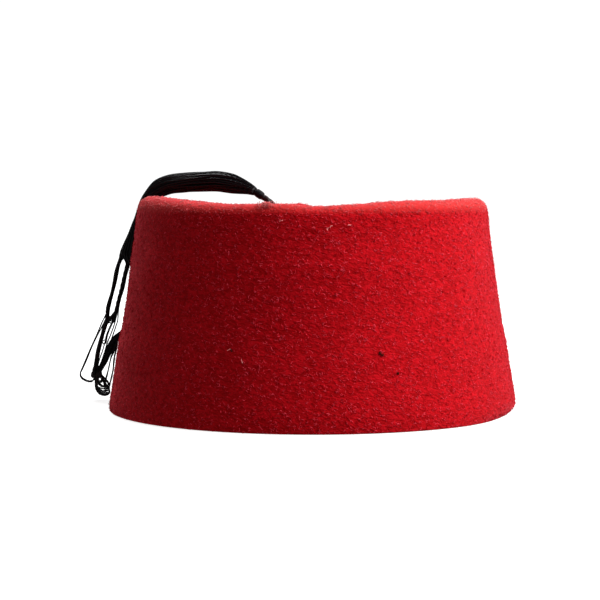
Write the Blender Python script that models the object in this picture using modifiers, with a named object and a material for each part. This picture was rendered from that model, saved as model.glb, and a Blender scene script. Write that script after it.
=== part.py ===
"""A fez: one blocked wool-felt crown, open below, with a black tassel over its left edge.

The tassel's cord is knotted under the crown's top and comes out through the felt, left of the centre. It carries a
bound bundle of looped threads, which arches to the edge of the top, lies over it and hangs down the side.

Metres, +Z up. The crown's axis is Z, its rim lies on Z = 0, and its front faces -Y. Bearings are seen from above,
in degrees from +X towards +Y, and "reach" is a distance from the crown's axis.
"""

import math

import bmesh
import bpy
from mathutils import Matrix, Vector

MM = 0.001

# --- Crown: felt of one thickness, blocked into a cone with a rounded shoulder -------------------------------------
FELT = 2.5 * MM
CROWN_HEIGHT = 98 * MM
SHOULDER_RADIUS = 5.5 * MM
LIP_RADIUS = 0.8 * MM
CROWN_SIDES = 72
SHOULDER_STEPS = 5
LIP_STEPS = 3

# The outer side, from the shoulder down to the lip. It flares a little towards the rim.
# Columns: height in mm, radius in mm.
SIDE_SECTIONS = (
    (92.5, 82.2),
    (86.0, 82.9),
    (78.0, 83.8),
    (69.0, 84.9),
    (60.0, 86.0),
    (50.0, 87.3),
    (40.0, 88.8),
    (31.0, 90.7),
    (22.0, 92.1),
    (13.0, 93.6),
    (6.0, 94.7),
    (1.0, 95.0),
)

# The top sinks between its edges, so that front and back stand lower than the sides. The tassel presses it down.
# Columns: bearing in degrees, height of the top's edge in mm.
RIM_HEIGHTS = (
    (0, 98.1),
    (30, 97.3),
    (60, 95.6),
    (90, 94.3),
    (120, 95.2),
    (150, 97.4),
    (163, 97.8),
    (172, 97.9),
    (184, 98.6),
    (195, 99.3),
    (210, 98.4),
    (225, 96.9),
    (240, 95.8),
    (255, 95.9),
    (262, 95.9),
    (272, 94.9),
    (285, 95.9),
    (300, 97.1),
    (315, 97.6),
    (330, 98.0),
)
RIM_BLEND_FROM = 55 * MM  # below this height the side is a plain cone
TOP_CENTRE_HEIGHT = 91.5 * MM
TOP_FLAT_SHARE = 0.4  # of the top's radius, inside which it is flat
TOP_RING_SHARES = (0.97, 0.9, 0.82, 0.73, 0.63, 0.52, 0.42, 0.33, 0.25, 0.17, 0.09)

# The knot under the felt lifts a low dome left of the centre.
DOME_CENTRE = Vector((-6.2 * MM, 0, 0))
DOME_HEIGHT = 4.7 * MM
DOME_RADIUS = 15 * MM

# --- Tassel: it lies in one upright plane through the axis. Places in it are (reach, height) in mm ------------------
TASSEL_BEARING = math.radians(164)
CORD_RADIUS = 1.5 * MM
HOLE_RADIUS = 1.85 * MM
HOLE_LENGTH = 9 * MM
KNOT_RADIUS = 3.3 * MM
BINDING_RADIUS = 2.0 * MM
BINDING_LENGTH = 4 * MM
CORD_SIDES_RESOLUTION = 3
ROUND_STEPS = 20

KNOT_AT = (11.4, 87.9)
CORD_ROUTE = ((14.4, 90.35), (16.6, 92.35), (18.7, 94.3), (20.8, 96.2), (22.7, 97.75), (24.36, 99.05))
BINDING_AT = (26.25, 100.45)
HOLE_FROM_TO = ((14.4, 90.35), (18.7, 94.3))

# The bundle's outer form, from its neck to the lowest loops.
# Columns: reach and height of each section's middle, its thickness in the plane and its width across it, all in mm.
SKIRT_SECTIONS = (
    (28.4, 101.75, 3.8, 3.8),
    (30.0, 102.5, 5.0, 5.0),
    (32.7, 103.4, 6.6, 6.6),
    (35.9, 104.4, 8.2, 8.2),
    (40.0, 105.5, 9.6, 9.8),
    (47.0, 106.5, 9.9, 11.0),
    (55.0, 106.4, 9.9, 12.0),
    (64.0, 105.9, 9.8, 12.5),
    (71.0, 105.2, 9.3, 12.5),
    (76.8, 102.9, 8.2, 12.5),
    (83.4, 97.8, 4.6, 13.0),
    (85.6, 91.3, 4.8, 13.0),
    (89.0, 79.6, 7.2, 13.5),
    (92.2, 67.9, 9.4, 14.0),
    (95.2, 56.0, 9.8, 15.0),
    (97.6, 45.0, 11.0, 16.0),
    (101.0, 33.0, 14.6, 18.0),
    (104.3, 20.0, 19.0, 19.5),
    (106.2, 12.5, 20.6, 19.0),
    (106.0, 6.5, 15.4, 16.0),
    (105.6, 3.0, 6.0, 7.0),
)
SKIRT_SIDES = 16
SKIRT_STEPS = 2  # rings for each section of the table

FELT_RED = (0.36, 0.004, 0.012, 1)
THREAD_BLACK = (0.004, 0.004, 0.006, 1)


def clear_scene():
    for thing in list(bpy.data.objects):
        bpy.data.objects.remove(thing, do_unlink=True)


def new_collection(name, helper=False):
    made = bpy.data.collections.new(name)
    made.hide_render = helper
    bpy.context.scene.collection.children.link(made)
    return made


def material(name, colour, roughness):
    made = bpy.data.materials.new(name)
    made.use_nodes = True
    made.diffuse_color = colour
    shader = made.node_tree.nodes["Principled BSDF"]
    shader.inputs["Base Color"].default_value = colour
    shader.inputs["Roughness"].default_value = roughness
    shader.inputs["Metallic"].default_value = 0
    return made


def add_object(name, data, collection, finish=None):
    made = bpy.data.objects.new(name, data)
    collection.objects.link(made)
    if finish:
        data.materials.append(finish)
    return made


def smooth_step(share):
    share = min(max(share, 0), 1)
    return share * share * (3 - 2 * share)


def through(before, start, end, after, share):
    """A smooth curve through four neighbouring values, at a share of the way from the second to the third."""
    bend = 2 * before - 5 * start + 4 * end - after
    turn = 3 * start - before - 3 * end + after
    return start + share * (end - before + share * (bend + share * turn)) / 2


# --- Crown ---------------------------------------------------------------------------------------------------------
def rim_height(bearing_deg):
    """Height of the top's edge at a bearing, on a smooth closed curve through the table."""
    rows = RIM_HEIGHTS
    count = len(rows)
    at = bearing_deg % 360
    index = max(i for i in range(count) if rows[i][0] <= at)
    start = rows[index][0]
    end = rows[(index + 1) % count][0] or 360
    heights = [rows[(index + step) % count][1] * MM for step in (-1, 0, 1, 2)]
    return through(*heights, (at - start) / (end - start))


def arc(centre, radius, start_deg, end_deg, steps):
    """Points (reach, height) along an arc, both ends among them."""
    points = []
    for step in range(steps + 1):
        turn = math.radians(start_deg + (end_deg - start_deg) * step / steps)
        points.append((centre[0] + radius * math.cos(turn), centre[1] + radius * math.sin(turn)))
    return points


def crown_profile():
    """The felt's cross-section, from the outer top centre down the outer side, round the lip and up the inner side."""
    side = [(radius * MM, height * MM) for height, radius in SIDE_SECTIONS]
    shoulder_reach = side[0][0] - SHOULDER_RADIUS
    shoulder_base = CROWN_HEIGHT - SHOULDER_RADIUS
    foot = side[-1][0]

    outer = [(0, CROWN_HEIGHT)]
    outer += [(share * shoulder_reach, CROWN_HEIGHT) for share in reversed(TOP_RING_SHARES)]
    outer += arc((shoulder_reach, shoulder_base), SHOULDER_RADIUS, 90, 0, SHOULDER_STEPS)
    outer += side[1:-1]

    lip = arc((foot - LIP_RADIUS, LIP_RADIUS), LIP_RADIUS, 0, -90, LIP_STEPS)
    lip += arc((foot - FELT + LIP_RADIUS, LIP_RADIUS), LIP_RADIUS, -90, -180, LIP_STEPS)

    inner = [(radius - FELT, height) for radius, height in reversed(side[2:-1:2])]
    inner += arc((shoulder_reach, shoulder_base), SHOULDER_RADIUS - FELT, 0, 90, LIP_STEPS)
    inner += [(share * shoulder_reach, CROWN_HEIGHT - FELT) for share in TOP_RING_SHARES[::2]]
    inner += [(0, CROWN_HEIGHT - FELT)]
    return outer + lip + inner


def dome_rise(x, y):
    away = (Vector((x, y, 0)) - DOME_CENTRE).length / DOME_RADIUS
    if away >= 1:
        return 0
    return DOME_HEIGHT * math.cos(away * math.pi / 2) ** 2


def sunk(point):
    """A point of the plain crown, moved to where the soft felt has settled."""
    x, y, z = point
    reach = math.hypot(x, y)
    rise = rim_height(math.degrees(math.atan2(y, x))) - CROWN_HEIGHT
    top_reach = SIDE_SECTIONS[0][1] * MM - SHOULDER_RADIUS
    if reach >= top_reach:
        blend_to = CROWN_HEIGHT - SHOULDER_RADIUS
        return Vector((x, y, z + rise * smooth_step((z - RIM_BLEND_FROM) / (blend_to - RIM_BLEND_FROM))))
    edge = smooth_step((reach / top_reach - TOP_FLAT_SHARE) / (1 - TOP_FLAT_SHARE))
    sag = TOP_CENTRE_HEIGHT - CROWN_HEIGHT
    return Vector((x, y, z + rise * edge + sag * (1 - edge) + dome_rise(x, y)))


def turned(name, profile, steps, collection):
    """A profile of (reach, height) points turned about Z, as an object with a Screw modifier."""
    mesh = bpy.data.meshes.new(name)
    points = [(reach, 0, height) for reach, height in profile]
    mesh.from_pydata(points, [(i, i + 1) for i in range(len(points) - 1)], [])
    made = add_object(name, mesh, collection)
    screw = made.modifiers.new("Turn", "SCREW")
    screw.steps = screw.render_steps = steps
    screw.use_merge_vertices = True
    screw.merge_threshold = 0.00001
    return made


def evaluated_mesh(made):
    bpy.context.view_layer.update()
    return bpy.data.meshes.new_from_object(made.evaluated_get(bpy.context.evaluated_depsgraph_get()))


def shade_round(mesh, sharp_deg=40):
    mesh.shade_smooth()
    mesh.set_sharp_from_angle(angle=math.radians(sharp_deg))


def make_crown(hat, cutters):
    felt = material("wool_felt", FELT_RED, 0.95)
    plain = turned("crown_profile", crown_profile(), CROWN_SIDES, cutters)
    mesh = evaluated_mesh(plain)
    bpy.data.objects.remove(plain, do_unlink=True)
    for vertex in mesh.vertices:
        vertex.co = sunk(vertex.co)
    shade_round(mesh)
    mesh.name = "crown"
    crown = add_object("crown", mesh, hat, felt)

    start, end = (in_plane(*point) for point in HOLE_FROM_TO)
    cutter = turned("cord_hole", [(0, HOLE_LENGTH / 2), (HOLE_RADIUS, HOLE_LENGTH / 2),
                                  (HOLE_RADIUS, -HOLE_LENGTH / 2), (0, -HOLE_LENGTH / 2)], ROUND_STEPS, cutters)
    cutter.matrix_world = along(start, end)
    cutter.hide_render = True
    cutter.display_type = "WIRE"
    hole = crown.modifiers.new("Cord hole", "BOOLEAN")
    hole.operation = "DIFFERENCE"
    hole.object = cutter
    return crown


# --- Tassel --------------------------------------------------------------------------------------------------------
def in_plane(reach_mm, height_mm):
    """The point at a reach and a height in the tassel's upright plane."""
    reach = reach_mm * MM
    return Vector((reach * math.cos(TASSEL_BEARING), reach * math.sin(TASSEL_BEARING), height_mm * MM))


def along(start, end):
    """Places an object's Z axis on the line from start to end, with its origin at the middle."""
    turn = (end - start).to_track_quat("Z", "Y").to_matrix().to_4x4()
    return Matrix.Translation((start + end) / 2) @ turn


def make_cord(hat, thread):
    curve = bpy.data.curves.new("tassel_cord", "CURVE")
    curve.dimensions = "3D"
    curve.bevel_depth = CORD_RADIUS
    curve.bevel_resolution = CORD_SIDES_RESOLUTION
    curve.use_fill_caps = True
    spline = curve.splines.new("POLY")
    spline.points.add(len(CORD_ROUTE) - 1)
    for point, row in zip(spline.points, CORD_ROUTE):
        point.co = (*in_plane(*row), 1)
    return add_object("tassel_cord", curve, hat, thread)


def make_knot(hat, thread):
    """The cord's knot, which bears on the felt from below. It is the outer form of an overhand knot."""
    mesh = bpy.data.meshes.new("cord_knot")
    shape = bmesh.new()
    bmesh.ops.create_uvsphere(shape, u_segments=ROUND_STEPS, v_segments=ROUND_STEPS // 2, radius=KNOT_RADIUS)
    shape.to_mesh(mesh)
    shape.free()
    shade_round(mesh)
    knot = add_object("cord_knot", mesh, hat, thread)
    knot.location = in_plane(*KNOT_AT)
    return knot


def make_binding(hat, thread):
    """Thread wound round the top of the bundle: a short barrel on the cord's line."""
    half = BINDING_LENGTH / 2
    profile = [(0, half), (0.8 * BINDING_RADIUS, half), (BINDING_RADIUS, 0.7 * half), (BINDING_RADIUS, -0.7 * half),
               (0.85 * BINDING_RADIUS, -half), (0, -half)]
    binding = turned("tassel_binding", profile, ROUND_STEPS, hat)
    middle = in_plane(*BINDING_AT)
    heading = (in_plane(*SKIRT_SECTIONS[0][:2]) - in_plane(*CORD_ROUTE[-1])).normalized()
    binding.matrix_world = along(middle - heading * half, middle + heading * half)
    binding.data.materials.append(thread)
    return binding


def skirt_rings():
    """Rings of points round the bundle, spaced evenly between the sections of the table."""
    last = len(SKIRT_SECTIONS) - 1
    rows = []
    for index in range(last):
        near = [SKIRT_SECTIONS[min(max(index + step, 0), last)] for step in (-1, 0, 1, 2)]
        for step in range(SKIRT_STEPS):
            rows.append([through(*column, step / SKIRT_STEPS) for column in zip(*near)])
    rows.append(SKIRT_SECTIONS[last])

    middles = [in_plane(reach, height) for reach, height, _, _ in rows]
    across = Vector((math.sin(TASSEL_BEARING), -math.cos(TASSEL_BEARING), 0))
    rings = []
    for index, (_, _, thick, wide) in enumerate(rows):
        heading = middles[min(index + 1, len(rows) - 1)] - middles[max(index - 1, 0)]
        outward = across.cross(heading).normalized()
        ring = []
        for side in range(SKIRT_SIDES):
            turn = 2 * math.pi * side / SKIRT_SIDES
            offset = outward * math.cos(turn) * thick + across * math.sin(turn) * wide
            ring.append(middles[index] + offset * MM / 2)
        rings.append(ring)
    return rings


def make_skirt(hat, thread):
    """The bundle of looped threads, as one loft through its sections, with a cap at each end."""
    shape = bmesh.new()
    rings = [[shape.verts.new(point) for point in ring] for ring in skirt_rings()]
    for ring, following in zip(rings, rings[1:]):
        for side in range(SKIRT_SIDES):
            after = (side + 1) % SKIRT_SIDES
            shape.faces.new((ring[side], ring[after], following[after], following[side]))
    shape.faces.new(reversed(rings[0]))
    shape.faces.new(rings[-1])
    bmesh.ops.recalc_face_normals(shape, faces=shape.faces)
    mesh = bpy.data.meshes.new("tassel_skirt")
    shape.to_mesh(mesh)
    shape.free()
    shade_round(mesh, 60)
    return add_object("tassel_skirt", mesh, hat, thread)


clear_scene()
fez = new_collection("fez")
fez_cutters = new_collection("fez_cutters", helper=True)
silk = material("black_thread", THREAD_BLACK, 0.4)
make_crown(fez, fez_cutters)
make_cord(fez, silk)
make_knot(fez, silk)
make_binding(fez, silk)
make_skirt(fez, silk)
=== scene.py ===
import math

import bpy
import numpy as np
from mathutils import Matrix, Vector, noise


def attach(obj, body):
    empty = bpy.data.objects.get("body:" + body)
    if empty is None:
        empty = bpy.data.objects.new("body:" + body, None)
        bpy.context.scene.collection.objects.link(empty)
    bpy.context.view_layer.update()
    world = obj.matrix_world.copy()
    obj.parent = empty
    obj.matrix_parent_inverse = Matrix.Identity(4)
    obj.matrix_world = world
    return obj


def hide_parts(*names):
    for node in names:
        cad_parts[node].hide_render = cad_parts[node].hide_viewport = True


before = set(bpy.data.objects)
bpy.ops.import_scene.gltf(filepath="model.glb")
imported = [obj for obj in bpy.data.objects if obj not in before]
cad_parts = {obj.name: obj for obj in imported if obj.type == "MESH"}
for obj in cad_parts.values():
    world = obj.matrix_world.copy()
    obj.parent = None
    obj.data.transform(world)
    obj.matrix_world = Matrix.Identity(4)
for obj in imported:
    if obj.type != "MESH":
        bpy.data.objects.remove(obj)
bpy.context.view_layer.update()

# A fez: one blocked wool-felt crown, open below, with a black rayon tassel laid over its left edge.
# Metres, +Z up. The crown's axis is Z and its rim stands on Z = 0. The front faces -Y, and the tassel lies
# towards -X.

MM = 0.001


# --- Camera -------------------------------------------------------------------
# A long lens at the height of the hat's top, 0.8 m from its axis. It is turned a little down and to the
# left, so that the hat falls where the photo has it, and has no shift.
CAMERA_DISTANCE = 798 * MM
CAMERA_HEIGHT = 97.6 * MM
FOCAL_PIXELS = 1698
PICTURE_PIXELS = 600
LEVEL_AHEAD_AT = (312.4, 200.2)  # the photo's pixel that is level with the camera and straight ahead

camera_data = bpy.data.cameras.new("camera")
camera_data.lens = camera_data.sensor_width * FOCAL_PIXELS / PICTURE_PIXELS
camera = bpy.data.objects.new("camera", camera_data)
bpy.context.scene.collection.objects.link(camera)
bpy.context.scene.camera = camera
camera.location = (0, -CAMERA_DISTANCE, CAMERA_HEIGHT)
middle = PICTURE_PIXELS / 2
look = Vector((middle - LEVEL_AHEAD_AT[0], FOCAL_PIXELS, LEVEL_AHEAD_AT[1] - middle))
camera.rotation_mode = "QUATERNION"
camera.rotation_quaternion = look.to_track_quat("-Z", "Y")


# --- Tassel cord --------------------------------------------------------------
# Three-ply twisted rayon cord. It is knotted under the felt and comes out of a pierced hole left of the
# centre, 3 mm thick. Pressed to 2.2 mm, it runs on through the bundle as its core, to a small knot in the
# lowest loops.
TASSEL_BEARING = math.radians(164)
OUTWARD = Vector((math.cos(TASSEL_BEARING), math.sin(TASSEL_BEARING), 0))
ACROSS = Vector((math.sin(TASSEL_BEARING), -math.cos(TASSEL_BEARING), 0))  # towards the back
CORD_DIAMETER = 2.2 * MM
CORD_FULL_DIAMETER = 3.1 * MM  # over its plies, from the felt to the binding
CORD_PRESSED_FROM_TO = (24.6 * MM, 28.4 * MM)  # the binding presses it together between these reaches
CORD_PLIES = 3
CORD_LAY = 9 * MM  # length of one turn of the twist
CORD_RING_SPACING = 0.7 * MM
CORD_SIDES = 15
CORD_GROOVE = 0.16  # depth of the grooves between the plies, as a share of the radius
CURVE_STEPS = 12  # between two points that a path is given by

# Rows are (reach from the crown's axis, height) in mm, in the tassel's upright plane.
CORD_VISIBLE = ((14.4, 90.4), (16.5, 92.5), (18.6, 94.6), (20.7, 96.5), (22.6, 97.95), (24.6, 99.3),
                (28.4, 101.7))
CORD_IN_ARCH = ((35.9, 104.3), (47.0, 106.4), (59.0, 106.2), (71.0, 104.8), (76.8, 102.6), (82.6, 98.0),
                (85.4, 92.5))
CORD_HANGING = ((88.0, 83.0), (90.6, 74.6), (93.2, 67.0), (95.0, 60.6), (96.4, 55.0), (97.8, 50.0),
                (98.9, 46.0), (99.8, 43.0), (101.6, 40.9), (103.7, 39.4), (105.2, 37.0), (106.5, 32.8),
                (107.9, 28.2), (109.1, 23.4), (109.9, 19.2))
CORD_ROUTE = CORD_VISIBLE + CORD_IN_ARCH + CORD_HANGING


def in_plane(reach_mm, height_mm, across_mm=0):
    """The point at a reach and a height in the tassel's upright plane, or that far behind it."""
    return OUTWARD * (reach_mm * MM) + ACROSS * (across_mm * MM) + Vector((0, 0, height_mm * MM))


def curve_between(before, start, end, after, share):
    """A share of the way from start to end, on a smooth curve through all four points or heights."""
    bend = 2 * before - 5 * start + 4 * end - after
    turn = 3 * start - before - 3 * end + after
    return start + share * (end - before + share * (bend + share * turn)) / 2


def length_along(path):
    """How far each of a path's points lies along it."""
    return np.concatenate([[0], np.cumsum(np.linalg.norm(np.diff(path, axis=0), axis=1))])


def smooth_path(points, spacing):
    """Points about this far apart on a smooth curve through the given ones."""
    points = np.array([tuple(point) for point in points], float)
    ends = [2 * points[:1] - points[1:2], 2 * points[-1:] - points[-2:-1]]
    run = np.vstack([ends[0], points, ends[1]])
    share = np.linspace(0, 1, CURVE_STEPS, endpoint=False)[:, None]
    pieces = [curve_between(*four, share) for four in zip(run, run[1:], run[2:], run[3:])]
    dense = np.vstack([*pieces, points[-1:]])
    gone = length_along(dense)
    at = np.linspace(0, gone[-1], max(2, round(gone[-1] / spacing) + 1))
    return np.stack([np.interp(at, gone, dense[:, axis]) for axis in range(3)], axis=1)


def carried_frames(path):
    """Two unit directions square to the path at each of its points, carried along it without twist."""
    heading = np.gradient(path, axis=0)
    heading /= np.linalg.norm(heading, axis=1)[:, None]
    side = np.cross(heading[0], (0.31, 0.59, 0.74))
    sides = []
    for along in heading:
        side = side - along * (side @ along)
        side = side / np.linalg.norm(side)
        sides.append(side)
    sides = np.array(sides)
    return sides, np.cross(heading, sides)


def thread_mesh(name, runs, sides, plies=0, lay=1.0, groove=0.0):
    """Closed round threads in one mesh. A run is (path, radius at each of its points).

    A plied cord's outline has a lobe for each ply, and they turn once in each lay. The UV map "thread" holds
    the turn round the thread and the length along it in metres.
    """
    points, faces, around_along, smooth = [], [], [], []
    turn = np.arange(sides) / sides
    for path, radii in runs:
        first = len(points)
        side, other = carried_frames(path)
        gone = length_along(path)
        angle = 2 * np.pi * (turn[None] + gone[:, None] / lay * (plies > 0))
        lobes = 1 - groove * (0.5 - 0.5 * np.cos(2 * np.pi * plies * turn))[None]
        reach = np.asarray(radii, float).reshape(-1, 1) * lobes
        ring = side[:, None] * (np.cos(angle) * reach)[..., None]
        ring += other[:, None] * (np.sin(angle) * reach)[..., None]
        points.extend(map(tuple, (path[:, None] + ring).reshape(-1, 3)))
        for row in range(len(path) - 1):
            low, high = first + row * sides, first + (row + 1) * sides
            for step in range(sides):
                after = (step + 1) % sides
                faces.append((low + step, low + after, high + after, high + step))
                near, far = step / sides, (step + 1) / sides
                here, ahead = gone[row], gone[row + 1]
                around_along += [(near, here), (far, here), (far, ahead), (near, ahead)]
                smooth.append(True)
        last = first + (len(path) - 1) * sides
        start_cap = range(first + sides - 1, first - 1, -1)
        end_cap = range(last, last + sides)
        for cap, at in ((start_cap, gone[0]), (end_cap, gone[-1])):
            faces.append(tuple(cap))
            around_along += [(0, at)] * sides
            smooth.append(False)
    mesh = bpy.data.meshes.new(name)
    mesh.from_pydata(points, [], faces)
    mesh.polygons.foreach_set("use_smooth", smooth)
    uv = mesh.uv_layers.new(name="thread")
    uv.data.foreach_set("uv", np.array(around_along, np.float32).ravel())
    return mesh


def add_piece(name, mesh, finish, slot, *replaced):
    """A finished mesh as a piece of the hat, which stands for the CAD nodes that it replaces."""
    piece = bpy.data.objects.new(name, mesh)
    bpy.context.scene.collection.objects.link(piece)
    mesh.materials.append(finish)
    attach(piece, "root")
    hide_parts(*replaced)
    return piece


def linear(hex_colour):
    """A linear colour from an sRGB hex value."""
    channels = [int(hex_colour[place:place + 2], 16) / 255 for place in (1, 3, 5)]
    return [c / 12.92 if c <= 0.04045 else ((c + 0.055) / 1.055) ** 2.4 for c in channels] + [1]


def add_node(tree, kind, inputs=None, **settings):
    """Adds a shader node with its settings. An input is a value, or another node's output to link."""
    made = tree.nodes.new("ShaderNode" + kind)
    for name, value in settings.items():
        setattr(made, name, value)
    for name, value in (inputs or {}).items():
        if isinstance(value, bpy.types.NodeSocket):
            tree.links.new(value, made.inputs[name])
        else:
            made.inputs[name].default_value = value
    return made


def mixed(tree, share, dark, light):
    """Between two colours, each a linear value or another node's output."""
    return add_node(tree, "Mix", {0: share, 6: dark, 7: light}, data_type="RGBA").outputs[2]


def new_material(name, **sockets):
    """A material with a Principled shader, whose plain values are set on its own sockets."""
    made = bpy.data.materials.new(name)
    made.use_nodes = True
    shader = made.node_tree.nodes["Principled BSDF"]
    for socket, value in sockets.items():
        shader.inputs[socket.replace("_", " ")].default_value = value
    return made, made.node_tree, shader


def twisted_rayon(name, dark, light, plies, lay, groove_depth, **sockets):
    """Twisted bright rayon: near-black, with a silky gloss that breaks up along the turns of the plies."""
    made, tree, shader = new_material(name, **sockets)
    uv = add_node(tree, "UVMap", uv_map="thread")
    place = add_node(tree, "SeparateXYZ", {"Vector": uv.outputs["UV"]})
    turns = add_node(tree, "Math", {0: place.outputs["Y"], 1: 1 / lay}, operation="MULTIPLY")
    plied = add_node(tree, "Math", {0: place.outputs["X"], 1: plies, 2: turns.outputs[0]},
                     operation="MULTIPLY_ADD")
    phase = add_node(tree, "Math", {0: plied.outputs[0], 1: 2 * math.pi}, operation="MULTIPLY")
    wave = add_node(tree, "Math", {0: phase.outputs[0]}, operation="COSINE")
    # Filaments run along each ply, so their noise is stretched along the length.
    spread = add_node(tree, "CombineXYZ", {"X": place.outputs["X"], "Y": turns.outputs[0]})
    filament = add_node(tree, "TexNoise", {"Vector": spread.outputs[0], "Scale": 9, "Detail": 2})
    height = add_node(tree, "Math", {0: wave.outputs[0], 1: 0.5, 2: filament.outputs["Fac"]},
                      operation="MULTIPLY_ADD")
    # Painted shade and highlight: the colour is darker in the grooves between the plies and lighter on their
    # crests.
    groove_shade_colour = mixed(tree, height.outputs[0], linear(dark), linear(light))
    bump = add_node(tree, "Bump", {"Height": height.outputs[0], "Distance": groove_depth, "Strength": 0.9})
    tree.links.new(groove_shade_colour, shader.inputs["Base Color"])
    tree.links.new(bump.outputs["Normal"], shader.inputs["Normal"])
    return made


cord_path = smooth_path([in_plane(*row) for row in CORD_ROUTE], CORD_RING_SPACING)
# Painted reflection: the cord's reddish crest colour stands in for the red felt reflected in it.
cord_rayon = twisted_rayon("twisted_rayon_cord", "#0b0607", "#2c181a", plies=CORD_PLIES, lay=CORD_LAY,
                           groove_depth=0.25 * MM, Roughness=0.45, Specular_IOR_Level=0.22)
cord_radii = np.interp(cord_path @ np.array(OUTWARD), CORD_PRESSED_FROM_TO,
                       (CORD_FULL_DIAMETER / 2, CORD_DIAMETER / 2))
cord_mesh = thread_mesh("tassel_cord_twisted", [(cord_path, cord_radii)], CORD_SIDES, CORD_PLIES, CORD_LAY,
                        CORD_GROOVE)
cord = add_piece("tassel_cord_twisted", cord_mesh, cord_rayon, "thread", "tassel_cord")


# --- Binding ------------------------------------------------------------------
# The head of the tassel: fine black thread wound tightly round the cord and the ends of the looped threads.
BINDING_MIDDLE = (26.25, 100.45)
BINDING_HEADING = (3.88, 2.7)  # (reach, height) along the cord
BINDING_LENGTH = 4 * MM
BINDING_RADIUS = 2.0 * MM
BINDING_TAPER = 0.16  # how much thinner it is at its ends
WINDING_DIAMETER = 0.36 * MM
WINDING_SIDES = 8
STEPS_PER_TURN = 16
# The core under the winding: place along it and thickness, as shares.
CORE_ROWS = ((-0.5, 0.8), (-0.42, 0.9), (-0.2, 0.98), (0.2, 0.98), (0.42, 0.9), (0.5, 0.8))

axis_along = in_plane(*BINDING_HEADING).normalized()
binding_turn = axis_along.to_track_quat("Z", "Y").to_matrix()
winding_turns = BINDING_LENGTH / WINDING_DIAMETER
winding_steps = int(winding_turns * STEPS_PER_TURN)
winding = []
for step in range(winding_steps + 1):
    turned = 2 * math.pi * step / STEPS_PER_TURN
    share = step / winding_steps
    swell = 1 - BINDING_TAPER * (2 * share - 1) ** 4
    radius = (BINDING_RADIUS - WINDING_DIAMETER / 2) * swell
    place = Vector((radius * math.cos(turned), radius * math.sin(turned), (share - 0.5) * BINDING_LENGTH))
    winding.append(tuple(binding_turn @ place + in_plane(*BINDING_MIDDLE)))
winding = np.array(winding)
core = np.array([tuple(in_plane(*BINDING_MIDDLE) + axis_along * BINDING_LENGTH * share)
                 for share, _ in CORE_ROWS])
core_radii = (BINDING_RADIUS - WINDING_DIAMETER / 2) * np.array([thick for _, thick in CORE_ROWS])
binding_rayon = twisted_rayon("bright_rayon_winding", "#040406", "#14151a", plies=2, lay=1.4 * MM,
                              groove_depth=0.05 * MM, Roughness=0.35, Specular_IOR_Level=0.16)
winding_radii = np.full(len(winding), WINDING_DIAMETER / 2)
binding_mesh = thread_mesh("tassel_binding_wound", [(winding, winding_radii), (core, core_radii)],
                           WINDING_SIDES)
binding = add_piece("tassel_binding_wound", binding_mesh, binding_rayon, "thread", "tassel_binding")


# --- Looped threads -----------------------------------------------------------
# The bundle: twisted rayon threads, each looped back at its lower end and left uncut. They spring from the
# binding in an arch, press together over the edge of the top and hang down the side, where a few stand away.
THREAD_RADIUS = 0.36  # mm, as all tables of this section
THREAD_SPACING = 1.7 * MM
THREAD_SIDES = 6
THREAD_LAY = 2.4 * MM

# The bundle from the binding over the edge and down to where its strands part: reach and height of its
# middle, its thickness in the tassel's plane and its width across it.
BUNDLE_SECTIONS = (
    (28.2, 101.55, 3.9, 3.9),
    (30.0, 102.4, 5.2, 5.1),
    (32.7, 103.4, 6.8, 6.6),
    (35.9, 104.4, 8.5, 8.2),
    (40.0, 105.5, 9.9, 9.6),
    (47.0, 106.6, 10.2, 10.9),
    (55.0, 106.4, 10.2, 11.8),
    (64.0, 105.9, 10.1, 12.2),
    (71.0, 105.3, 9.6, 12.4),
    (76.8, 103.2, 9.0, 12.6),
    (80.8, 100.2, 6.2, 12.9),
    (83.6, 96.6, 4.6, 13.0),
    (85.3, 91.5, 5.0, 13.0),
    (86.8, 85.6, 7.4, 12.8),
    (88.4, 79.6, 9.8, 12.4),
    (90.1, 74.2, 11.6, 11.8),
    (91.2, 70.4, 12.6, 11.2),
)

# The felt's outer side from the rim up, as (radius, height).
SIDE_SECTIONS = ((95.2, 0), (94.9, 6), (93.8, 13), (92.3, 22), (90.9, 31), (89.1, 40), (87.5, 50),
                 (86.1, 60), (84.9, 69), (83.3, 78), (82.3, 86), (81.5, 92.5))

# Ways that the strands take below the bundle, as (reach, height), and turns at the loops' ends.
OUTER = ((98.1, 66.0), (99.1, 62.4), (100.2, 57.6), (101.4, 52.6), (102.9, 47.6), (103.9, 44.0))
INNER = ((93.6, 66.0), (94.8, 61.1), (95.9, 56.5), (97.0, 53.0), (98.1, 49.4), (98.9, 45.8))
OUTER_TO_LOOP = OUTER + ((105.0, 41.2), (106.8, 38.0), (109.6, 32.2), (112.5, 25.9), (115.4, 19.6),
                         (117.9, 14.6))
OUTER_TO_WEDGE = OUTER + ((104.4, 41.2), (105.4, 39.0), (107.5, 35.4), (109.9, 31.0), (112.5, 25.6),
                          (115.3, 19.6), (117.8, 14.6))
OUTER_TO_CORE = OUTER + ((104.0, 41.2), (104.6, 38.4), (105.7, 35.2), (106.7, 32.2), (107.9, 28.2),
                         (109.1, 23.4), (110.1, 18.8), (110.8, 14.6))
OUTER_TO_BLOCK = OUTER + ((104.3, 41.6), (104.6, 39.6))
INNER_TO_CORE = INNER + ((99.7, 42.8), (101.2, 40.6), (103.3, 39.0), (105.0, 36.8), (106.4, 33.2),
                         (107.7, 28.6), (108.9, 23.8), (109.9, 19.4), (110.7, 15.0))
INNER_TO_BLOCK = INNER + ((99.4, 42.4), (99.7, 40.0))
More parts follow.
